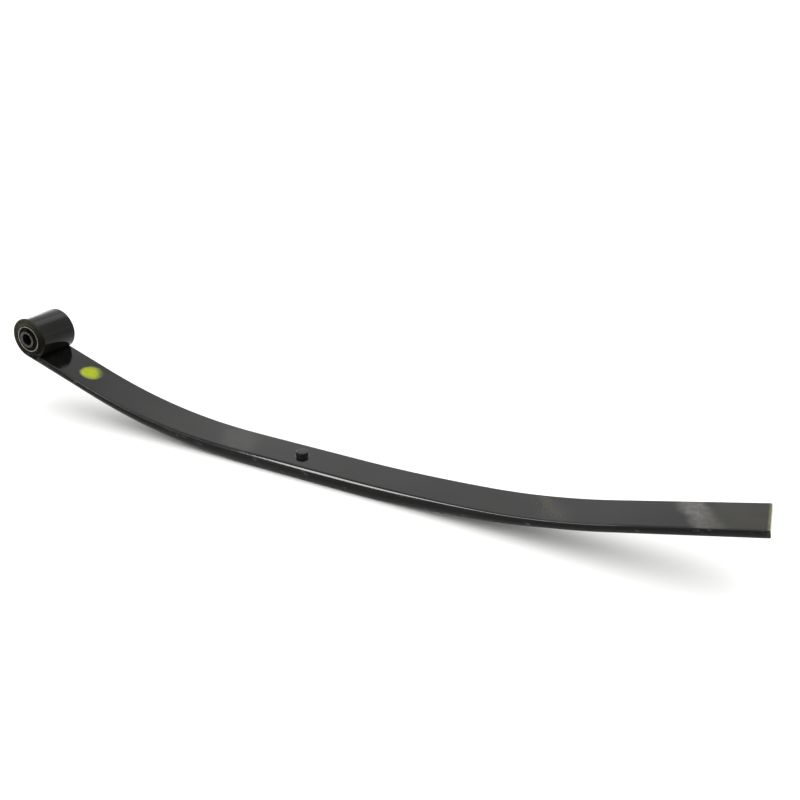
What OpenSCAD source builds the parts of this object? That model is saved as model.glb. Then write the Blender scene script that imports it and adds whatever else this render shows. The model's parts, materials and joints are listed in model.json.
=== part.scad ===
// Single-leaf spring: a tapered spring-steel bar with a rolled eye and rubber bush at the front,
// a plain slipper tail at the rear and a locating dowel standing on its seat.
// Origin: dowel axis on the seat's top face. +X runs to the tail, +Z is up, +Y is across the bar.

/* [Leaf] */
// Width of the bar
leaf_w = 60; // [45:1:80]
// Thickness at the seat
seat_t = 19; // [16:0.5:24]

/* [Front limb] */
// Length of the level stretch ahead of the dowel
front_flat = 90; // [70:1:110]
// Radius of the easy bend that leaves the seat
front_r1 = 950; // [800:10:1200]
// Angle turned by the easy bend
front_a1 = 3; // [2:0.5:4]
// Radius of the main bend
front_r2 = 795; // [700:5:1000]
// Angle turned by the main bend
front_a2 = 15.4; // [12:0.1:20]
// Length along the top face from the dowel to the start of the eye
front_length = 450.5; // [440:0.5:500]
// Distance along the top face at which the thickness starts to fall
front_taper_start = 68; // [50:1:90]
// Distance along the top face at which the thickness stops falling
front_taper_end = 330; // [300:1:360]
// Thickness where the bar is thinnest
front_end_t = 9.5; // [7:0.5:11]
// Distance along the top face at which the bar starts to thicken again towards the eye
front_swell_start = 365; // [361:1:400]

/* [Rear limb] */
// Length of the level stretch behind the dowel
rear_flat = 70; // [60:1:100]
// Radius of the easy bend that leaves the seat
rear_r1 = 2400; // [1800:50:3000]
// Angle turned by the easy bend
rear_a1 = 4.3; // [3:0.1:5]
// Radius of the main bend
rear_r2 = 800; // [700:10:1000]
// Angle turned by the main bend
rear_a2 = 10.5; // [8:0.5:12]
// Length along the top face from the dowel to the end of the tail
rear_length = 557.5; // [520:0.5:600]
// Distance along the top face at which the thickness starts to fall
rear_taper_start = 120; // [100:1:140]
// Distance along the top face at which the thickness stops falling
rear_taper_end = 332; // [300:1:360]
// Thickness of the tail
rear_end_t = 10; // [8:0.5:12]

/* [Flex pivots] */
// Distance along the top face from the dowel to the front limb's equivalent hinge
front_pivot_s = 262; // [240:1:280]
// Distance along the top face from the dowel to the rear limb's equivalent hinge
rear_pivot_s = 312; // [290:1:330]
// Radial clearance in each hinge knuckle
knuckle_gap = 0.1; // [0.05:0.05:0.2]
// Angle from the bar's axis at which each socket's lips end
lip_angle = 64; // [55:1:70]

/* [Eye and bush] */
// Wall of the rolled eye, which is also the thickness of the bar where the roll starts
eye_wall = 10.5; // [8.5:0.5:13]
// Outside diameter of the bush's outer sleeve, which is the bore of the eye
sleeve_d = 38; // [34:0.5:42]
// Wall of the outer sleeve
sleeve_wall = 1.75; // [1.5:0.25:2.5]
// Outside diameter of the inner tube
tube_d = 24; // [22:0.5:26]
// Bore of the inner tube
tube_bore = 16.5; // [12.5:0.5:18]
// How far the inner tube stands out of each side of the eye
tube_proud = 2.5; // [1:0.5:5]
// How far the rubber lies inside each side of the eye
rubber_recess = 2; // [1:0.5:4]
// Chamfer at each end of the tube's bore
bore_chamfer = 0.8; // [0.5:0.1:1]
// Slit between the end of the roll and the top of the leaf
roll_gap = 1.2; // [0.8:0.1:2]

/* [Locating dowel] */
// Diameter of the dowel above the seat
dowel_d = 16; // [12:0.5:20]
// Height of the dowel above the seat
dowel_h = 6; // [5:0.5:12]
// Chamfer round the dowel's top
dowel_chamfer = 0.8; // [0.4:0.1:1.2]
// Diameter of the collar let into the seat
collar_d = 18; // [17:0.5:22]
// Depth of the collar
collar_depth = 3; // [2:0.5:5]
// Diameter of the shank that goes through the leaf
shank_d = 11; // [8:0.5:12]

/* [Hidden] */
$fn = 96;

// Longest straight chord used along a bent stretch of the bar
chord = 9;
// Radial clearance that lets the inner tube turn inside the rubber
bush_gap = 0.05;
// Overlap that makes a cut run clean through a face
over = 1;

// Colours of the finishes
black_paint = [0.10, 0.10, 0.11];
dowel_paint = [0.12, 0.12, 0.12];
bare_steel = [0.72, 0.72, 0.70];
oiled_steel = [0.45, 0.44, 0.42];
rubber_black = [0.05, 0.05, 0.05];

// Thickness of each limb at distances along its top face, with an even change between them
FRONT_T = [
    [front_taper_start, seat_t], [front_taper_end, front_end_t],
    [front_swell_start, front_end_t], [front_length, eye_wall]
];
REAR_T = [[rear_taper_start, seat_t], [rear_taper_end, rear_end_t]];

// Each limb: level length, two bends (radius, angle), thicknesses, side sign
FRONT = [front_flat, front_r1, front_a1, front_r2, front_a2, FRONT_T, -1];
REAR = [rear_flat, rear_r1, rear_a1, rear_r2, rear_a2, REAR_T, 1];

eye_ri = sleeve_d / 2;
eye_ro = eye_ri + eye_wall;
front_slope = front_a1 + front_a2;
sleeve_ri = eye_ri - sleeve_wall;

// Distance along the top face at which the easy bend and the main bend end
function bend1_end(limb) = limb[0] + limb[1] * limb[2] * PI / 180;
function bend2_end(limb) = bend1_end(limb) + limb[3] * limb[4] * PI / 180;

// Slope of the top face, in degrees, at distance s from the dowel
function slope(limb, s) =
    s <= limb[0] ? 0 :
    s <= bend1_end(limb) ? (s - limb[0]) / limb[1] * 180 / PI :
    s <= bend2_end(limb) ? limb[2] + (s - bend1_end(limb)) / limb[3] * 180 / PI :
    limb[2] + limb[4];

// Outward distance and height of the top face at distance s, before the limb is put on its side
function arc_step(r, from, to) = r * [sin(to) - sin(from), cos(from) - cos(to)];
function reach(limb, s) =
    s <= limb[0] ? [s, 0] :
    s <= bend1_end(limb) ? [limb[0], 0] + arc_step(limb[1], 0, slope(limb, s)) :
    s <= bend2_end(limb) ?
        reach(limb, bend1_end(limb)) + arc_step(limb[3], limb[2], slope(limb, s)) :
    reach(limb, bend2_end(limb))
        + (s - bend2_end(limb)) * [cos(slope(limb, s)), sin(slope(limb, s))];

function thickness(limb, s) = lookup(s, limb[5]);

// A point at depth d below the top face, measured square to it
function inward(limb, s, d) =
    let (a = slope(limb, s), p = reach(limb, s) + d * [sin(a), -cos(a)]) [limb[6] * p[0], p[1]];
function middle(limb, s) = inward(limb, s, thickness(limb, s) / 2);

// Stations from one distance to another, in steps no longer than the chord
function stations(from, to) =
    let (n = ceil(abs(to - from) / chord)) [for (i = [0:n]) from + (to - from) * i / n];
function top_line(limb, from, to) = [for (s = stations(from, to)) inward(limb, s, 0)];
function under_line(limb, from, to) =
    [for (s = stations(from, to)) inward(limb, s, thickness(limb, s))];

front_knuckle_r = thickness(FRONT, front_pivot_s) / 2;
rear_knuckle_r = thickness(REAR, rear_pivot_s) / 2;

// A flat outline in X and Z, given the bar's width across Y
module bar(width = leaf_w) {
    rotate([90, 0, 0])
        linear_extrude(height = width, center = true)
            children();
}

// A cylinder across the bar, centred on a point in X and Z
module across(point, r, length) {
    translate([point[0], 0, point[1]])
        rotate([90, 0, 0])
            cylinder(r = r, h = length, center = true);
}

// A limb's outline between two distances from the dowel
module limb_outline(limb, from, to) {
    polygon(concat(top_line(limb, from, to), under_line(limb, to, from)));
}

// The eye's centre lies above the top face by the radius of its bore
eye_centre = inward(FRONT, front_length, -eye_ri);

// The rolled eye, in the leaf's own direction, with the slit under the end of the roll
module eye_outline() {
    translate(eye_centre)
        rotate(-front_slope)
            difference() {
                circle(r = eye_ro);
                circle(r = eye_ri);
                translate([0, -eye_ri])
                    square([eye_ro + over, roll_gap]);
            }
}

module leaf_seat() {
    front_end = front_pivot_s - front_knuckle_r * cos(lip_angle);
    rear_end = rear_pivot_s - rear_knuckle_r * cos(lip_angle);
    color(black_paint)
        difference() {
            bar()
                polygon(concat(
                    top_line(FRONT, front_end, 0),
                    top_line(REAR, chord, rear_end),
                    under_line(REAR, rear_end, 0),
                    under_line(FRONT, chord, front_end)
                ));
            across(middle(FRONT, front_pivot_s), front_knuckle_r + knuckle_gap, leaf_w + over);
            across(middle(REAR, rear_pivot_s), rear_knuckle_r + knuckle_gap, leaf_w + over);
            translate([0, 0, -seat_t - over])
                cylinder(d = shank_d, h = seat_t + over);
            translate([0, 0, -collar_depth])
                cylinder(d = collar_d, h = collar_depth + over);
        }
}

module leaf_front_limb() {
    color(black_paint) {
        difference() {
            bar()
                limb_outline(FRONT, front_pivot_s, front_length);
            across(eye_centre, eye_ri, leaf_w + over);
        }
        bar()
            eye_outline();
        across(middle(FRONT, front_pivot_s), front_knuckle_r, leaf_w);
    }
}

module leaf_rear_limb() {
    color(black_paint) {
        bar()
            limb_outline(REAR, rear_pivot_s, rear_length);
        across(middle(REAR, rear_pivot_s), rear_knuckle_r, leaf_w);
    }
}

module bush_outer_sleeve() {
    color(bare_steel)
        difference() {
            across(eye_centre, eye_ri, leaf_w);
            across(eye_centre, sleeve_ri, leaf_w + over);
        }
}

module bush_rubber() {
    length = leaf_w - 2 * rubber_recess;
    color(rubber_black)
        difference() {
            across(eye_centre, sleeve_ri, length);
            across(eye_centre, tube_d / 2 + bush_gap, length + over);
        }
}

module bush_inner_tube() {
    length = leaf_w + 2 * tube_proud;
    color(oiled_steel)
        difference() {
            across(eye_centre, tube_d / 2, length);
            across(eye_centre, tube_bore / 2, length + over);
            for (side = [-1, 1])
                translate([eye_centre[0], side * length / 2, eye_centre[1]])
                    rotate([side * 90, 0, 0])
                        cylinder(r1 = tube_bore / 2 + bore_chamfer, r2 = tube_bore / 2, h = bore_chamfer);
        }
}

module centre_dowel() {
    color(dowel_paint) {
        translate([0, 0, -seat_t])
            cylinder(d = shank_d, h = seat_t - collar_depth);
        translate([0, 0, -collar_depth])
            cylinder(d = collar_d, h = collar_depth);
        cylinder(d = dowel_d, h = dowel_h - dowel_chamfer);
        translate([0, 0, dowel_h - dowel_chamfer])
            cylinder(d1 = dowel_d, d2 = dowel_d - 2 * dowel_chamfer, h = dowel_chamfer);
    }
}

leaf_seat();
leaf_front_limb();
leaf_rear_limb();
bush_outer_sleeve();
bush_rubber();
bush_inner_tube();
centre_dowel();
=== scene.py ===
import json
import math

import bmesh
import bpy
from mathutils import Matrix, Vector


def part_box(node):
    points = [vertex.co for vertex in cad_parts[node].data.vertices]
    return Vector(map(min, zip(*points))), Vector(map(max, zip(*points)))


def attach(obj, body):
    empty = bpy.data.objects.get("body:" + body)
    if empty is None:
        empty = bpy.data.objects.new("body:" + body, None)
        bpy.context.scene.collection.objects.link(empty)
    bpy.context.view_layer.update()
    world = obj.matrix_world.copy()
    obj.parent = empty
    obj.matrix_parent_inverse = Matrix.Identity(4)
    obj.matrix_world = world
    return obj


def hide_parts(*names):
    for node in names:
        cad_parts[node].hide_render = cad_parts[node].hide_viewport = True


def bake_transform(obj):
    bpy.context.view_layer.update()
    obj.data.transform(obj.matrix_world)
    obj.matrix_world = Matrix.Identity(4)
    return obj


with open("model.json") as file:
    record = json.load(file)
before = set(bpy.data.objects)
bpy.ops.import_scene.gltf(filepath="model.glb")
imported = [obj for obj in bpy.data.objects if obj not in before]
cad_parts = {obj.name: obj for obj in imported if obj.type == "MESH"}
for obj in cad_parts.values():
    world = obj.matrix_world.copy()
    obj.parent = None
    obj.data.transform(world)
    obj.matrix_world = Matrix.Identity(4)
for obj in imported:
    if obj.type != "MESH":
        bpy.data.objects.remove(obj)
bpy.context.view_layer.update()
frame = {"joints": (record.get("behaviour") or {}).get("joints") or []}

MM = 0.001
JOINT_AT = {j["name"]: Vector(j["pos_m"]) for j in frame["joints"]}
EYE = JOINT_AT["bush_twist"]

# The bar: its width, its thickness on the seat, and its rolled edges. Each edge is a wide arc that
# turns this far either way from square, and runs into a corner whose radius is a share of the thickness
# and never less than the smaller share.
SEAT_LOW, SEAT_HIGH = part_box("leaf_seat")
WIDTH = SEAT_HIGH.y - SEAT_LOW.y
SEAT_T = -SEAT_LOW.z
CROWN_TURN = math.radians(28)
CROWN_STEPS = 8
CORNER_SHARE = 0.2
CORNER_LEAST = 0.1
CORNER_STEPS = 7
FLAT_STEPS = 8
EDGE_LOOP = 1 * MM
EDGE_LOOP_MOST = 0.15
RING_STEP = 5 * MM

# The two limbs, as in the CAD: level length, bends (radius, degrees), length, thickness along them
FRONT = {
    "side": -1,
    "flat": 90 * MM,
    "bends": [(950 * MM, 3), (795 * MM, 15.4)],
    "length": 450.5 * MM,
    "thickness": [
        (68 * MM, SEAT_T), (330 * MM, 9.5 * MM),
        (365 * MM, 9.5 * MM), (450.5 * MM, 10.5 * MM),
    ],
}
REAR = {
    "side": 1,
    "flat": 70 * MM,
    "bends": [(2400 * MM, 4.3), (800 * MM, 10.5)],
    "length": 557.5 * MM,
    "thickness": [(120 * MM, SEAT_T), (332 * MM, 10 * MM)],
}

# Where the visual halves meet, ahead of the dowel
SEAM = 80 * MM

# The rolled eye and its bush. The roll ends ROLL_END short of a full turn, and from ROLL_CUT short of it
# it is cut level, a slit above the leaf. The rubber keeps a gap round the tube, which turns in it.
SLEEVE_R = 19 * MM
SLEEVE_WALL = 1.75 * MM
TUBE_R = 12 * MM
TUBE_GAP = 0.06 * MM
TUBE_BORE = 8.25 * MM
TUBE_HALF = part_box("bush_inner_tube")[1].y
TUBE_CHAMFER = 0.8 * MM
RUBBER_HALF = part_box("bush_rubber")[1].y
RUBBER_DISH = 2.2 * MM
RUBBER_STEPS = 12
ROLL_STEP = math.radians(5)
ROLL_END = math.radians(24)
ROLL = SLEEVE_R * (2 * math.pi - ROLL_END)
ROLL_CUT = math.radians(60)
ROLL_SLIT = 1.2 * MM

# The tail's rounded end, with the inset of its flat face, and the dowel in its fine joint line
TAIL_EDGE = 1.6 * MM
TAIL_STEPS = 6
TAIL_FACE = 1.35 * TAIL_EDGE
DOWEL_R = 8 * MM
DOWEL_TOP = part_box("centre_dowel")[1].z
COLLAR_R = 9 * MM
COLLAR_DEPTH = 3 * MM
SHANK_R = 5.5 * MM
JOINT_LINE = 0.08 * MM

# Divisions round a turned piece, and the angle from which an edge stays sharp
TURNS = 96
SHARP = math.radians(30)

# Paint and steel colours, in linear light
WORN_EDGE = (0.035, 0.032, 0.026, 1)
STAIN_TAN = (0.026, 0.022, 0.012, 1)
STAIN_VIOLET = (0.014, 0.009, 0.020, 1)
STAIN_SPECKS = (0.046, 0.041, 0.030, 1)
TAIL_FILM = (0.022, 0.021, 0.014, 1)
# Painted highlight, olive-tinted, along the tail's rounded end
TAIL_HIGHLIGHT_OLIVE = (0.110, 0.105, 0.048, 1)
DAB_DEEP = (0.25, 0.29, 0.003, 1)
DAB_BRIGHT = (0.35, 0.38, 0.004, 1)
DAB_RIM = (0.17, 0.21, 0.030, 1)
DAB_THIN = (0.035, 0.065, 0.030, 1)
# The roll's sawn faces as painted in shade and in light: darker below, lighter towards the top and the
# front
EYE_FACE_SHADED = (0.006, 0.006, 0.004, 1)
EYE_FACE_LIT = (0.036, 0.036, 0.025, 1)
SLEEVE_STEEL = (0.26, 0.25, 0.21, 1)
SLEEVE_OIL = (0.08, 0.075, 0.058, 1)
TUBE_STEEL = (0.085, 0.082, 0.076, 1)
TUBE_OIL = (0.038, 0.036, 0.032, 1)

# The way in which the paint dab thins out: towards the dowel and the bar's far side
DAB_FADE = Vector((0.78, 0.62, 0))

# The floor, out to this far each way
FLOOR_WHITE = (0.86, 0.86, 0.85, 1)
FLOOR_SIZE = 30.0

# The studio, in shares of white: the sky, its soft glows (the way to each, the nearness at which it
# starts and is full, its strength), the white that the camera sees, the lamp behind at the left, and
# the soft light that falls on matt surfaces, which comes mostly from above
SKY = 0.78
GLOWS = [
    (Vector((-0.52, 0.65, 0.53)), 0.90, 0.99, 0.35),
    (Vector((0.02, 0.61, 0.78)), 0.955, 0.995, 1.0),
]
WHITE = 1.3
LAMP = 4.5
FILL = (0.90, 2.05)
FILL_WAY = Vector((0.10, -0.10, 1.0))

# The key light: the way to it from the near edge beside the dowel, how far out, its size and its strength
KEY_WAY = Vector((-0.423, -0.742, 0.520))
KEY_DISTANCE = 2.0
KEY_AT = Vector((70 * MM, -WIDTH / 2, 0)) + KEY_DISTANCE * KEY_WAY.normalized()
KEY_SIZE = (0.62, 1.30)
KEY_RADIANCE = 4.5

# The camera: turn to the left, tilt down and roll in degrees, place, and focal length on a 36 mm sensor
CAMERA_TURNS = (24.32, 24.15, 2.04)
CAMERA_AT = (0.4901, -0.7824, 0.4936)
CAMERA_LENS = 35.93
CAMERA_SENSOR = 36


# ---------------------------------------------------------------- the leaf's shape

def runs(limb):
    """The top face as (length, curvature) runs, from the dowel to where the limb ends."""
    found = [(limb["flat"], 0.0)]
    found += [(radius * math.radians(turn), 1 / radius) for radius, turn in limb["bends"]]
    found.append((limb["length"] - sum(length for length, _ in found), 0.0))
    return found


def top_point(limb, s):
    """Outward distance, height and slope of the top face at distance s from the dowel."""
    x = z = slope = 0.0
    for length, curve in limb["runs"]:
        step = max(0.0, min(s, length))
        if curve:
            end = slope + step * curve
            x += (math.sin(end) - math.sin(slope)) / curve
            z += (math.cos(slope) - math.cos(end)) / curve
            slope = end
        else:
            x += step * math.cos(slope)
            z += step * math.sin(slope)
        s -= step
    return x, z, slope


def on_top(limb, s, y=0.0):
    """The point of the top face at distance s from the dowel and y across."""
    x, z, _ = top_point(limb, s)
    return Vector((limb["side"] * x, y, z))


def thickness(limb, s):
    """Thickness at distance s. The roll's end is cut level with the leaf's top, a slit above it."""
    marks = limb["thickness"]
    t = marks[0][1]
    for (start, before), (end, after) in zip(marks, marks[1:]):
        t += (after - before) * min(1.0, max(0.0, (s - start) / (end - start)))
    left = 2 * math.pi - (s - limb["length"]) / SLEEVE_R
    if s > limb["length"] and left < ROLL_CUT:
        t = min(t, (SLEEVE_R - ROLL_SLIT) / math.cos(left) - SLEEVE_R)
    return t


def arc(y, depth, r, start, end, steps):
    """Points of an arc about (y, depth). Its angles are tilts up from the bar's side."""
    turns = [start + (end - start) * i / steps for i in range(steps + 1)]
    return [(y + r * math.cos(a), depth - r * math.sin(a)) for a in turns]


def section(t, inset=0.0):
    """The bar's outline as (across, depth) pairs: flat top and belly between crowned sides."""
    r = max(CORNER_SHARE * t - inset, CORNER_LEAST * t)
    turn = CROWN_TURN
    crown = (t / 2 - inset - r * (1 - math.sin(turn))) / math.sin(turn)
    hub = WIDTH / 2 - inset - crown
    y = hub + (crown - r) * math.cos(turn)
    rise = (crown - r) * math.sin(turn)
    far = arc(y, t / 2 - rise, r, math.pi / 2, turn, CORNER_STEPS)
    far += arc(hub, t / 2, crown, turn, -turn, CROWN_STEPS)[1:]
    far += arc(y, t / 2 + rise, r, -turn, -math.pi / 2, CORNER_STEPS)[1:]
    near = [(-y, depth) for y, depth in reversed(far)]
    return far + flat_points(far[-1], near[0]) + near + flat_points(near[-1], far[0])


def flat_points(a, b):
    """Points between a and b: a support loop near each end and equal parts between."""
    near = min(EDGE_LOOP / math.dist(a, b), EDGE_LOOP_MOST)
    shares = [near] + [i / FLAT_STEPS for i in range(1, FLAT_STEPS)] + [1 - near]
    return [(a[0] + (b[0] - a[0]) * k, a[1] + (b[1] - a[1]) * k) for k in shares]


def ring(limb, s, inset=0.0):
    """The bar's outline at distance s, square to the top face there."""
    x, z, slope = top_point(limb, s)
    inward = Vector((limb["side"] * math.sin(slope), 0, -math.cos(slope)))
    top = Vector((limb["side"] * x, 0, z))
    return [top + inward * depth + Vector((0, y, 0)) for y, depth in section(thickness(limb, s), inset)]


def stations(marks, step):
    """Distances from the first mark to the last, through each mark, no further apart than step."""
    found = [marks[0]]
    for a, b in zip(marks, marks[1:]):
        parts = max(1, math.ceil(abs(b - a) / step - 0.001))
        found += [a + (b - a) * i / parts for i in range(1, parts + 1)]
    return found


def breaks(limb, start, end):
    """The distances from start to end at which a run or a change of thickness begins or ends."""
    marks = [s for s, _ in limb["thickness"]]
    total = 0.0
    for length, _ in limb["runs"]:
        total += length
        marks.append(total)
    return [start] + sorted(m for m in marks if start + EDGE_LOOP < m < end - EDGE_LOOP) + [end]


def closed_mesh(name, rings):
    """A closed mesh through rings of equal length, capped at both ends."""
    bm = bmesh.new()
    loops = [[bm.verts.new(p) for p in points] for points in rings]
    for a, b in zip(loops, loops[1:]):
        for i in range(len(a)):
            j = (i + 1) % len(a)
            bm.faces.new((a[i], a[j], b[j], b[i]))
    bm.faces.new(loops[0])
    bm.faces.new(loops[-1])
    return mesh_object(name, bm)


def mesh_object(name, bm):
    """Links a bmesh as a new object, with its faces pointing out."""
    bmesh.ops.recalc_face_normals(bm, faces=bm.faces)
    mesh = bpy.data.meshes.new(name)
    bm.to_mesh(mesh)
    bm.free()
    obj = bpy.data.objects.new(name, mesh)
    bpy.context.scene.collection.objects.link(obj)
    return obj


def front_half():
    """From the seam in the seat to the end of the roll round the eye."""
    length = FRONT["length"]
    along = stations(breaks(FRONT, SEAM, length), RING_STEP)
    along += stations([length, length + ROLL], SLEEVE_R * ROLL_STEP)[1:]
    return closed_mesh("leaf_front_half", [ring(FRONT, s) for s in along])


def rear_half():
    """From the seam in the seat, past the dowel, to the tail's rounded end."""
    ahead = stations(list(reversed(breaks(FRONT, 0.0, SEAM))), RING_STEP)[:-1]
    end = REAR["length"]
    behind = stations(breaks(REAR, 0.0, end - TAIL_EDGE), RING_STEP)
    rings = [ring(FRONT, s) for s in ahead] + [ring(REAR, s) for s in behind]
    for i in range(1, TAIL_STEPS + 1):
        a = math.radians(90 * i / TAIL_STEPS)
        rings.append(ring(REAR, end - TAIL_EDGE * (1 - math.sin(a)), TAIL_EDGE * (1 - math.cos(a))))
    rings.append(ring(REAR, end, TAIL_FACE))
    leaf = closed_mesh("leaf_rear_half", rings)
    cut_out(leaf, dowel_hole())
    return leaf


def dowel_hole():
    """The stepped hole for the dowel's collar and shank, with a fine joint line all round."""
    over = 2 * MM
    collar = COLLAR_R + JOINT_LINE
    shank = SHANK_R + JOINT_LINE
    profile = [
        (0, over), (collar, over), (collar, -COLLAR_DEPTH),
        (shank, -COLLAR_DEPTH), (shank, -SEAT_T - over), (0, -SEAT_T - over),
    ]
    return lathe("dowel_hole", profile, Vector((0, 0, 0)), "Z")


def cut_out(obj, tool):
    """Cuts the tool's shape from obj and removes the tool."""
    cut = obj.modifiers.new("hole", "BOOLEAN")
    cut.operation = "DIFFERENCE"
    cut.solver = "EXACT"
    cut.object = tool
    bpy.context.view_layer.update()
    evaluated = obj.evaluated_get(bpy.context.evaluated_depsgraph_get())
    mesh = bpy.data.meshes.new_from_object(evaluated)
    obj.modifiers.clear()
    obj.data = mesh
    bpy.data.objects.remove(tool)


# ---------------------------------------------------------------- turned pieces

def lathe(name, profile, centre, axis):
    """A closed piece turned about an axis: profile is (radius, distance along the axis) pairs.

    A profile that starts on the axis also ends on it, and needs no side between its two ends.
    """
    bm = bmesh.new()
    across = {"Y": (Vector((1, 0, 0)), Vector((0, 0, 1)), Vector((0, 1, 0))),
              "Z": (Vector((1, 0, 0)), Vector((0, 1, 0)), Vector((0, 0, 1)))}[axis]
    columns = []
    for i in range(TURNS):
        a = 2 * math.pi * i / TURNS
        spoke = across[0] * math.cos(a) + across[1] * math.sin(a)
        columns.append([bm.verts.new(centre + spoke * r + across[2] * h) for r, h in profile])
    sides = len(profile) if profile[0][0] else len(profile) - 1
    for i, column in enumerate(columns):
        following = columns[(i + 1) % TURNS]
        for k in range(sides):
            n = (k + 1) % len(profile)
            bm.faces.new((column[k], column[n], following[n], following[k]))
    bmesh.ops.remove_doubles(bm, verts=bm.verts, dist=1e-7)
    return mesh_object(name, bm)


def round_edge(corner, before, after, r, steps=4):
    """The corner of a profile rounded with radius about r, between directions before and after."""
    c, a, b = Vector(corner), Vector(before), Vector(after)
    start = c + (a - c).normalized() * r
    end = c + (b - c).normalized() * r
    points = []
    for i in range(steps + 1):
        k = i / steps
        points.append(tuple(start * (1 - k) ** 2 + c * 2 * k * (1 - k) + end * k ** 2))
    return points


def rounded(corners, radii):
    """A closed profile with each corner rounded by its own radius, or kept sharp at 0."""
    points = []
    for i, corner in enumerate(corners):
        if radii[i]:
            points += round_edge(corner, corners[i - 1], corners[(i + 1) % len(corners)], radii[i])
        else:
            points.append(corner)
    return points


def outer_sleeve():
    """Drawn steel sleeve pressed in the eye, with softened rims."""
    half = WIDTH / 2
    inner = SLEEVE_R - SLEEVE_WALL
    corners = [(inner, -half), (SLEEVE_R, -half), (SLEEVE_R, half), (inner, half)]
    return lathe("outer_sleeve", rounded(corners, [0.35 * MM] * 4), EYE, "Y")


def rubber():
    """Moulded rubber between the tube and the sleeve, dished at each side with a thin lip on the tube."""
    inner = TUBE_R + TUBE_GAP
    outer = SLEEVE_R - SLEEVE_WALL
    side = []
    for i in range(RUBBER_STEPS + 1):
        k = i / RUBBER_STEPS
        depth = RUBBER_DISH * math.sin(math.pi * k) ** 0.8 * (1 - 0.2 * k)
        side.append((inner + (outer - inner) * k, RUBBER_HALF - depth))
    profile = side + [(r, -h) for r, h in reversed(side)]
    return lathe("rubber_bush", profile, EYE, "Y")


def inner_tube():
    """Thick tube that the eye bolt clamps, turned flat at each end and chamfered in the bore."""
    half = TUBE_HALF
    mouth = TUBE_BORE + TUBE_CHAMFER
    corners = [
        (TUBE_BORE, -half + TUBE_CHAMFER), (mouth, -half), (TUBE_R, -half),
        (TUBE_R, half), (mouth, half), (TUBE_BORE, half - TUBE_CHAMFER),
    ]
    radii = [0.15 * MM, 0.15 * MM, 0.5 * MM, 0.5 * MM, 0.15 * MM, 0.15 * MM]
    return lathe("inner_tube", rounded(corners, radii), EYE, "Y")


def dowel():
    """Dowel with a round-edged top, its collar let into the seat and its shank flush with the belly."""
    corners = [
        (0, DOWEL_TOP), (DOWEL_R, DOWEL_TOP), (DOWEL_R, 0), (COLLAR_R, 0), (COLLAR_R, -COLLAR_DEPTH),
        (SHANK_R, -COLLAR_DEPTH), (SHANK_R, -SEAT_T), (0, -SEAT_T),
    ]
    radii = [0, 0.9 * MM, 0.4 * MM, 0.2 * MM, 0, 0, 0.3 * MM, 0]
    return lathe("locating_dowel", rounded(corners, radii), Vector((0, 0, 0)), "Z")


# ---------------------------------------------------------------- shading data

def facing(vertex):
    """How far a point faces up, from -1 to 1. The cut in the seat, where the halves meet, has no say."""
    if abs(vertex.co.x + SEAM) < 1e-6:
        return Vector((0, vertex.normal.y, vertex.normal.z)).normalized().z
    return vertex.normal.z


def dress(obj, material):
    """Smooths a piece, keeps its true edges, and stores each point's rest place and upward facing."""
    mesh = obj.data
    mesh.shade_smooth()
    mesh.set_sharp_from_angle(angle=SHARP)
    rest = mesh.attributes.new("rest", "FLOAT_VECTOR", "POINT")
    rest.data.foreach_set("vector", [c for v in mesh.vertices for c in v.co])
    up = mesh.attributes.new("up", "FLOAT", "POINT")
    up.data.foreach_set("value", [facing(v) for v in mesh.vertices])
    mesh.materials.clear()
    mesh.materials.append(material)


class Graph:
    """A node tree, with short calls for the nodes that the materials and the studio share."""

    def __init__(self, owner):
        owner.use_nodes = True
        self.tree = owner.node_tree

    def set(self, socket, value):
        """Links a socket's source, or sets its plain value."""
        if isinstance(value, bpy.types.NodeSocket):
            self.tree.links.new(value, socket)
        else:
            socket.default_value = value

    def node(self, kind, inputs=(), **settings):
        made = self.tree.nodes.new(kind)
        for key, value in settings.items():
            setattr(made, key, value)
        for key, value in dict(inputs).items():
            self.set(made.inputs[key], value)
        return made

    def math(self, operation, a, b=0.0):
        return self.node("ShaderNodeMath", {0: a, 1: b}, operation=operation).outputs[0]

    def vector(self, operation, a, b=(0, 0, 0), output="Vector"):
        return self.node("ShaderNodeVectorMath", {0: a, 1: b}, operation=operation).outputs[output]

    def ramp(self, value, low, high, to_low=0.0, to_high=1.0):
        """Value carried smoothly from to_low at low to to_high at high."""
        inputs = {"Value": value, "From Min": low, "From Max": high, "To Min": to_low, "To Max": to_high}
        return self.node("ShaderNodeMapRange", inputs, interpolation_type="SMOOTHSTEP").outputs["Result"]


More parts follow.
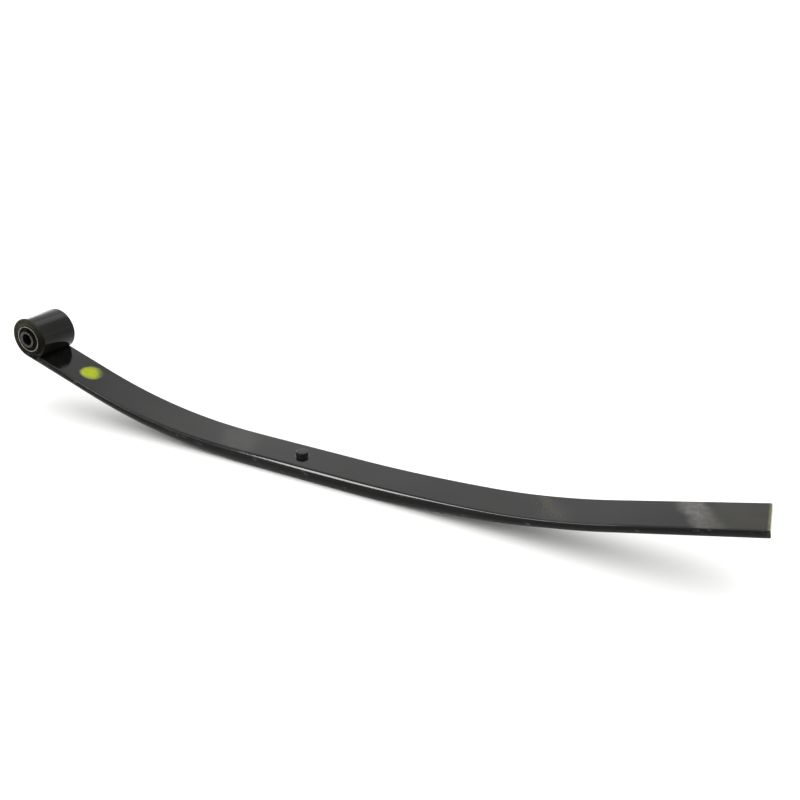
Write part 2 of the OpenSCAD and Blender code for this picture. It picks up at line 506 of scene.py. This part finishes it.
class Finish(Graph):
    """A material whose patterns lie on the stored rest place, so that they follow a bending leaf."""

    def __init__(self, name):
        self.material = bpy.data.materials.new(name)
        super().__init__(self.material)
        self.shader = self.tree.nodes["Principled BSDF"]
        self.rest = self.attribute("rest", "Vector")

    def attribute(self, name, output):
        return self.node("ShaderNodeAttribute", attribute_name=name).outputs[output]

    def noise(self, scale, detail=3.0, stretch=(1, 1, 1), at=(0, 0, 0), roughness=0.5):
        """Noise over the rest place, in cycles per metre, stretched by sharing out the axes."""
        place = self.vector("MULTIPLY", self.vector("ADD", self.rest, at), stretch)
        inputs = {"Vector": place, "Scale": scale, "Detail": detail, "Roughness": roughness}
        return self.node("ShaderNodeTexNoise", inputs).outputs["Fac"]

    def mix(self, share, a, b):
        """Colour a turning to b as share goes from 0 to 1. A colour mix has its inputs at 6 and 7."""
        made = self.tree.nodes.new("ShaderNodeMix")
        made.data_type = "RGBA"
        self.set(made.inputs[0], share)
        self.set(made.inputs[6], a)
        self.set(made.inputs[7], b)
        return made.outputs[2]

    def spot(self, centre, size, ragged, scale, soft=0.35, slant=0.0):
        """A patch with a ragged rim: 1 inside, 0 past its size along each axis, slanting across the bar."""
        offset = self.vector("SUBTRACT", self.rest, centre)
        across = self.node("ShaderNodeSeparateXYZ", {0: offset}).outputs[1]
        shift = self.node("ShaderNodeCombineXYZ", {0: self.math("MULTIPLY", across, slant)}).outputs[0]
        share = self.vector("DIVIDE", self.vector("ADD", offset, shift), size)
        far = self.vector("LENGTH", share, output="Value")
        rim = self.math("MULTIPLY", self.math("SUBTRACT", self.noise(scale), 0.5), ragged)
        return self.ramp(self.math("ADD", far, rim), 1 - soft, 1 + soft, 1.0, 0.0)

    def bump(self, height, distance, normal=None):
        """Height turned into a small relief of that depth in metres, on top of another."""
        inputs = {"Height": height, "Distance": distance, "Strength": 1.0}
        if normal is not None:
            inputs["Normal"] = normal
        return self.node("ShaderNodeBump", inputs).outputs["Normal"]

    def done(self, **sockets):
        """Sets the shader's own sockets, named with underscores for spaces."""
        for key, value in sockets.items():
            self.set(self.shader.inputs[key.replace("_", " ")], value)
        return self.material


def grey(value, warm=0.0):
    """A near-neutral colour, slightly warm above 0."""
    return (value * (1 + warm), value, value * (1 - warm), 1)


def leaf_paint():
    """Black dip paint on rolled steel, with faint orange peel, dust, a paint dab and an oily stain, and
    painted light: a reflection streak near the tail, a highlight on the tail's end, and light and shade on
    the eye's faces.

    The bar's sides are drier than its top and belly, and its rolled upper edges have a glossier skin.
    """
    f = Finish("black_leaf_paint")
    top = f.ramp(f.attribute("up", "Fac"), 0.55, 0.85)
    y = f.node("ShaderNodeSeparateXYZ", {0: f.rest}).outputs[1]

    mottle = f.ramp(f.noise(26, 5, (0.45, 1, 1)), 0.35, 0.7)
    colour = f.mix(mottle, grey(0.0035, 0.02), grey(0.0065, 0.05))
    rough = f.ramp(f.noise(60, 4, (0.35, 1, 1), (3, 0, 0)), 0.3, 0.7, 0.09, 0.14)

    colour, rough = add_dust_and_reflection(f, colour, rough, top)
    colour, rough = add_stain(f, colour, rough, top)
    colour, rough = add_tail_film_and_highlight(f, colour, rough, top)
    colour, rough, dry = add_eye_wear_and_painted_light(f, colour, rough, y)
    colour, rough, dab = add_dab(f, colour, rough, top)

    edge = f.ramp(f.math("ABSOLUTE", y), WIDTH / 2 - 2.6 * MM, WIDTH / 2 - 0.6 * MM)
    worn = f.math("MULTIPLY", edge, f.ramp(f.noise(150, 5, (0.4, 1, 1), (5, 0, 0)), 0.6, 0.72))
    colour = f.mix(worn, colour, WORN_EDGE)

    normal = f.bump(f.noise(330, 2), 0.022 * MM)
    normal = f.bump(f.noise(55, 3, (0.5, 1, 1), (7, 0, 0)), 0.09 * MM, normal)
    normal = f.bump(f.noise(900, 2, (0.06, 1, 1), (9, 0, 0)), 0.010 * MM, normal)
    normal = f.bump(dab, 0.05 * MM, normal)

    up = f.attribute("up", "Fac")
    shine = f.ramp(up, 0.22, 0.32, f.ramp(up, -0.45, 0.10, 0.46, 0.22), 0.5)
    shine = f.math("SUBTRACT", shine, f.math("MULTIPLY", dry, 0.25))
    shine = f.math("SUBTRACT", shine, f.math("MULTIPLY", dab, 0.30))

    gloss = f.math("MULTIPLY", f.ramp(up, 0.28, 0.40), f.ramp(up, 0.80, 0.68))
    gloss = f.math("MULTIPLY", gloss, f.ramp(eye_radius(f), 32 * MM, 37 * MM))
    f.done(Coat_Weight=gloss, Coat_Roughness=0.10, Coat_IOR=1.95, Coat_Normal=normal)
    return f.done(Base_Color=colour, Roughness=rough, Normal=normal, Specular_IOR_Level=shine, IOR=1.36)


def add_dust_and_reflection(f, colour, rough, top):
    """Dust on the top: patches ahead of the dowel and by the stain, and fine specks all over;
    and a slanting pale streak near the tail, which is a painted reflection."""
    for limb, s, y, size, slant, amount in [
        (FRONT, 97 * MM, 0, (27 * MM, 34 * MM, 60 * MM), 0.5, 0.026),
        # a painted reflection: a slanting pale streak across the top near the tail
        (REAR, 489 * MM, 0, (14 * MM, 90 * MM, 90 * MM), 0.47, 0.095),
        (REAR, 338 * MM, -12 * MM, (20 * MM, 20 * MM, 60 * MM), 0.0, 0.014),
    ]:
        patch = f.spot(on_top(limb, s, y), size, 1.1, 55, 0.55, slant)
        cloud = f.ramp(f.noise(190, 4, (1, 0.7, 1), (s, 1, 0)), 0.3, 0.75, 0.6, 1.0)
        share = f.math("MULTIPLY", f.math("MULTIPLY", patch, cloud), top)
        colour = f.mix(share, colour, grey(amount, 0.03))
        rough = f.math("ADD", rough, f.math("MULTIPLY", share, 0.08))
    speck = f.math("MULTIPLY", f.ramp(f.noise(1400, 1, (1, 1, 1), (2, 0, 0)), 0.74, 0.80), top)
    colour = f.mix(f.math("MULTIPLY", speck, 0.5), colour, grey(0.06, 0.05))
    return colour, rough


def add_stain(f, colour, rough, top):
    """An oily stain that slants across the rear limb: tan specks, violet on the tail's side."""
    tan = f.spot(on_top(REAR, 329 * MM, 4 * MM), (8 * MM, 26 * MM, 60 * MM), 0.9, 120, 0.7, 0.7)
    violet = f.spot(on_top(REAR, 336 * MM, 9 * MM), (5 * MM, 10 * MM, 60 * MM), 0.8, 120, 0.6, 0.5)
    trail = f.spot(on_top(REAR, 325 * MM, 4 * MM), (15 * MM, 30 * MM, 60 * MM), 1.0, 80, 0.5, 0.7)
    dots = f.math("MULTIPLY", trail, f.ramp(f.noise(420, 3, (1, 0.6, 1), (4, 0, 0)), 0.58, 0.68))
    colour = f.mix(f.math("MULTIPLY", tan, top), colour, STAIN_TAN)
    colour = f.mix(f.math("MULTIPLY", violet, top), colour, STAIN_VIOLET)
    colour = f.mix(f.math("MULTIPLY", dots, top), colour, STAIN_SPECKS)
    rough = f.math("ADD", rough, f.math("MULTIPLY", f.math("MULTIPLY", tan, top), 0.08))
    return colour, rough


def add_tail_film_and_highlight(f, colour, rough, top):
    """A thin olive film over the tail, and a painted olive-tinted highlight along its sheared end,
    strongest where the end's edge faces up.
    """
    x = f.node("ShaderNodeSeparateXYZ", {0: f.rest}).outputs[0]
    end = on_top(REAR, REAR["length"]).x
    film = f.math("MULTIPLY", f.ramp(x, end - 72 * MM, end - 42 * MM), top)
    film = f.math("MULTIPLY", film, f.ramp(f.noise(60, 4, (0.5, 1, 1), (6, 0, 0)), 0.3, 0.7, 0.6, 1.0))
    colour = f.mix(film, colour, TAIL_FILM)
    # Painted highlight: a band over the tail's end, strongest where it faces up, weakest on the flat end
    # face
    edge = f.math("MULTIPLY", f.ramp(x, end - 3.6 * MM, end - 1.2 * MM), f.ramp(top, 0.0, 1.0, 0.15, 1.0))
    share = f.math("MULTIPLY", edge, f.ramp(f.noise(90, 3), 0.3, 0.6, 0.7, 1.0))
    rough = f.math("ADD", rough, f.math("MULTIPLY", share, 0.2))
    return f.mix(share, colour, TAIL_HIGHLIGHT_OLIVE), rough


def add_dab(f, colour, rough, top):
    """A round dab of yellow-green paint, thinning to bluish green towards the dowel and the far side."""
    centre = on_top(FRONT, 359 * MM, 2 * MM)
    body = f.spot(centre, (14.8 * MM, 15.8 * MM, 40 * MM), 0.16, 110, 0.16)
    body = f.math("MULTIPLY", body, top)
    offset = f.vector("SUBTRACT", f.rest, centre)
    away = f.vector("DOT_PRODUCT", offset, DAB_FADE.normalized(), output="Value")
    thin = f.ramp(f.math("ADD", away, f.math("MULTIPLY", f.noise(150), 5 * MM)), 7 * MM, 18 * MM)
    brush = f.ramp(f.noise(260, 4, (0.6, 1, 1), (1, 1, 0)), 0.3, 0.7)
    yellow = f.mix(brush, DAB_DEEP, DAB_BRIGHT)
    core = f.spot(centre - 3 * MM * DAB_FADE, (11 * MM, 11 * MM, 40 * MM), 0.5, 160, 0.4)
    paint = f.mix(core, DAB_RIM, yellow)
    paint = f.mix(thin, paint, DAB_THIN)
    colour = f.mix(body, colour, paint)
    rough = f.math("ADD", rough, f.math("MULTIPLY", body, 0.25))
    return colour, rough, body


def add_eye_wear_and_painted_light(f, colour, rough, y):
    """Dry olive paint on the roll's two sawn faces, with painted light and shade: lighter towards the top
    and the front, darker below.
    """
    face = f.ramp(f.math("ABSOLUTE", y), WIDTH / 2 - 4.0 * MM, WIDTH / 2 - 2.4 * MM)
    face = f.math("MULTIPLY", face, f.ramp(eye_radius(f), 36 * MM, 32 * MM))
    patchy = f.ramp(f.noise(190, 4, (1, 1, 1), (8, 0, 0)), 0.3, 0.7, 0.5, 1.0)
    # Painted light and shade: the faces go from dark below to lighter towards the top and the front
    height = f.vector("DOT_PRODUCT", f.vector("SUBTRACT", f.rest, EYE), (-0.6, 0, 0.8), output="Value")
    painted_light_and_shade = f.mix(f.ramp(height, -22 * MM, 26 * MM), EYE_FACE_SHADED, EYE_FACE_LIT)
    colour = f.mix(f.math("MULTIPLY", face, patchy), colour, painted_light_and_shade)
    return colour, f.math("ADD", rough, f.math("MULTIPLY", face, 0.15)), face


def dowel_paint():
    """The same black paint, drier on the dowel, with turning marks on its top."""
    f = Finish("black_dowel_paint")
    radius = f.vector("LENGTH", f.vector("MULTIPLY", f.rest, (1, 1, 0)), output="Value")
    marks = f.math("SINE", f.math("MULTIPLY", radius, 9000.0))
    worn = f.ramp(f.noise(500, 4), 0.55, 0.75)
    colour = f.mix(worn, grey(0.006), grey(0.018, 0.06))
    rough = f.ramp(f.noise(300, 3), 0.3, 0.7, 0.26, 0.42)
    normal = f.bump(marks, 0.004 * MM)
    normal = f.bump(f.noise(600, 3), 0.02 * MM, normal)
    return f.done(Base_Color=colour, Roughness=rough, Normal=normal, IOR=1.43)


def eye_radius(f):
    """Distance of a point from the eye's axis."""
    spoke = f.vector("MULTIPLY", f.vector("SUBTRACT", f.rest, EYE), (1, 0, 1))
    return f.vector("LENGTH", spoke, output="Value")


def bare_steel(name, light, dark, rough_low, rough_high, turning):
    """Bare steel with turning marks round the eye's axis, and dark oil lying in patches."""
    f = Finish(name)
    marks = f.math("SINE", f.math("MULTIPLY", eye_radius(f), turning))
    oil = f.ramp(f.noise(420, 5), 0.38, 0.68)
    colour = f.mix(oil, light, dark)
    rough = f.ramp(f.noise(700, 3, (1, 1, 1), (1, 0, 0)), 0.3, 0.7, rough_low, rough_high)
    normal = f.bump(marks, 0.004 * MM)
    normal = f.bump(f.noise(1500, 2), 0.006 * MM, normal)
    return f.done(Base_Color=colour, Roughness=rough, Normal=normal, Metallic=1.0)


def bush_rubber():
    """Matt moulded rubber with a dusty bloom."""
    f = Finish("moulded_rubber")
    bloom = f.ramp(f.noise(500, 4), 0.4, 0.75)
    colour = f.mix(bloom, grey(0.003), grey(0.009, 0.12))
    rough = f.ramp(f.noise(800, 3), 0.3, 0.7, 0.55, 0.75)
    normal = f.bump(f.noise(2200, 2), 0.03 * MM)
    return f.done(Base_Color=colour, Roughness=rough, Normal=normal, Specular_IOR_Level=0.15)


# ---------------------------------------------------------------- stage

def floor():
    """A wide pale floor at the seat's underside."""
    size = FLOOR_SIZE
    bm = bmesh.new()
    corners = [(-size, -size), (size, -size), (size, size), (-size, size)]
    bm.faces.new([bm.verts.new((x, y, SEAT_LOW.z)) for x, y in corners])
    obj = mesh_object("floor", bm)
    material = bpy.data.materials.new("pale_floor")
    material.use_nodes = True
    shader = material.node_tree.nodes["Principled BSDF"]
    shader.inputs["Base Color"].default_value = FLOOR_WHITE
    shader.inputs["Roughness"].default_value = 0.85
    shader.inputs["Specular IOR Level"].default_value = 0.2
    obj.data.materials.append(material)


def surroundings():
    """A white studio, dim in front: bright near the floor, with a lamp and a glow behind at the left,
    and a wide glow overhead and behind that the top face mirrors."""
    world = bpy.data.worlds.new("studio")
    bpy.context.scene.world = world
    g = Graph(world)
    way = g.node("ShaderNodeTexCoord").outputs["Generated"]
    x, y, z = g.node("ShaderNodeSeparateXYZ", {0: way}).outputs[:]
    low = g.ramp(z, 0.02, 0.22, 0.65, 0.0)
    high = g.ramp(z, 0.60, 0.95, 0.0, 0.18)
    sky = g.math("ADD", g.math("ADD", low, high), SKY)
    in_front = g.math("MULTIPLY", g.ramp(y, -0.15, -0.45), g.ramp(z, 0.85, 0.72))
    sky = g.math("MULTIPLY", sky, g.ramp(in_front, 0.0, 1.0, 1.0, 0.2))
    sky = g.math("MULTIPLY", sky, g.ramp(x, -0.15, 0.35, 1.0, 0.9))
    lamp = g.math("MULTIPLY", g.ramp(y, 0.50, 0.56), g.ramp(y, 0.600, 0.630, 1.0, 0.0))
    lamp = g.math("MULTIPLY", lamp, g.ramp(z, 0.32, 0.56, 1.0, 0.0))
    lamp = g.math("MULTIPLY", lamp, g.ramp(x, -0.58, -0.42, LAMP, 0.0))
    sky = g.math("ADD", sky, lamp)
    for glow_way, rim, core, amount in GLOWS:
        nearness = g.vector("DOT_PRODUCT", way, glow_way.normalized(), output="Value")
        sky = g.math("ADD", sky, g.ramp(nearness, rim, core, 0.0, amount))
    nearness = g.vector("DOT_PRODUCT", way, FILL_WAY.normalized(), output="Value")
    fill = g.ramp(nearness, 0.2, 1.0, *FILL)
    path = g.node("ShaderNodeLightPath").outputs
    light = g.node("ShaderNodeMix", {0: path["Is Diffuse Ray"], 2: sky, 3: fill}).outputs[0]
    light = g.node("ShaderNodeMix", {0: path["Is Camera Ray"], 2: light, 3: WHITE}).outputs[0]
    background = g.tree.nodes["Background"]
    g.set(background.inputs["Color"], (1, 1, 0.99, 1))
    g.set(background.inputs["Strength"], light)


def key_light():
    """A tall soft light at the front left, which draws the bright line along the near edge and does
    nothing else: it is seen in reflections only."""
    data = bpy.data.lights.new("key", "AREA")
    data.shape = "ELLIPSE"
    data.size, data.size_y = KEY_SIZE
    area = math.pi * KEY_SIZE[0] * KEY_SIZE[1] / 4
    data.energy = KEY_RADIANCE * math.pi * area
    light = bpy.data.objects.new("key", data)
    light.location = KEY_AT
    light.rotation_euler = KEY_WAY.to_track_quat("Z", "Y").to_euler()
    light.visible_diffuse = False
    bpy.context.scene.collection.objects.link(light)


def camera():
    """The viewpoint: in front of the tail, looking down and left along the leaf."""
    yaw, pitch, roll = (math.radians(a) for a in CAMERA_TURNS)
    data = bpy.data.cameras.new("camera")
    data.lens = CAMERA_LENS
    data.sensor_width = CAMERA_SENSOR
    obj = bpy.data.objects.new("camera", data)
    turn = Matrix.Rotation(yaw, 3, "Z") @ Matrix.Rotation(math.pi / 2 - pitch, 3, "X")
    turn = turn @ Matrix.Rotation(roll, 3, "Z")
    obj.matrix_world = Matrix.Translation(CAMERA_AT) @ turn.to_4x4()
    bpy.context.scene.collection.objects.link(obj)
    bpy.context.scene.camera = obj


# ---------------------------------------------------------------- assembly


def place_leaf():
    """The leaf's two halves, which take the place of the seat and the two limbs."""
    paint = leaf_paint()
    front, rear = front_half(), rear_half()
    for leaf in (front, rear):
        dress(leaf, paint)
    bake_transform(front)
    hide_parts("leaf_seat", "leaf_front_limb")
    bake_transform(rear)
    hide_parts("leaf_seat", "leaf_rear_limb")


def place_fittings():
    """The pressed-in sleeve, the rubber and the tube that turns in it, and the dowel on the seat."""
    sleeve_steel = bare_steel("sleeve_bare_steel", SLEEVE_STEEL, SLEEVE_OIL, 0.28, 0.42, 7000.0)
    tube_steel = bare_steel("tube_oiled_steel", TUBE_STEEL, TUBE_OIL, 0.34, 0.5, 14000.0)
    for piece, material, body, node, slot in [
        (outer_sleeve(), sleeve_steel, "front_limb", "bush_outer_sleeve", "sleeve_steel"),
        (rubber(), bush_rubber(), "front_limb", "bush_rubber", "bush_rubber"),
        (inner_tube(), tube_steel, "inner_tube", "bush_inner_tube", "tube_steel"),
        (dowel(), dowel_paint(), "seat", "centre_dowel", "dowel_paint"),
    ]:
        dress(piece, material)
        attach(piece, body)
        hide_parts(node)


FRONT["runs"] = runs(FRONT) + [(ROLL, 1 / SLEEVE_R)]
REAR["runs"] = runs(REAR)
camera()
surroundings()
key_light()
floor()
place_leaf()
place_fittings()
bpy.context.scene.view_settings.view_transform = "Standard"
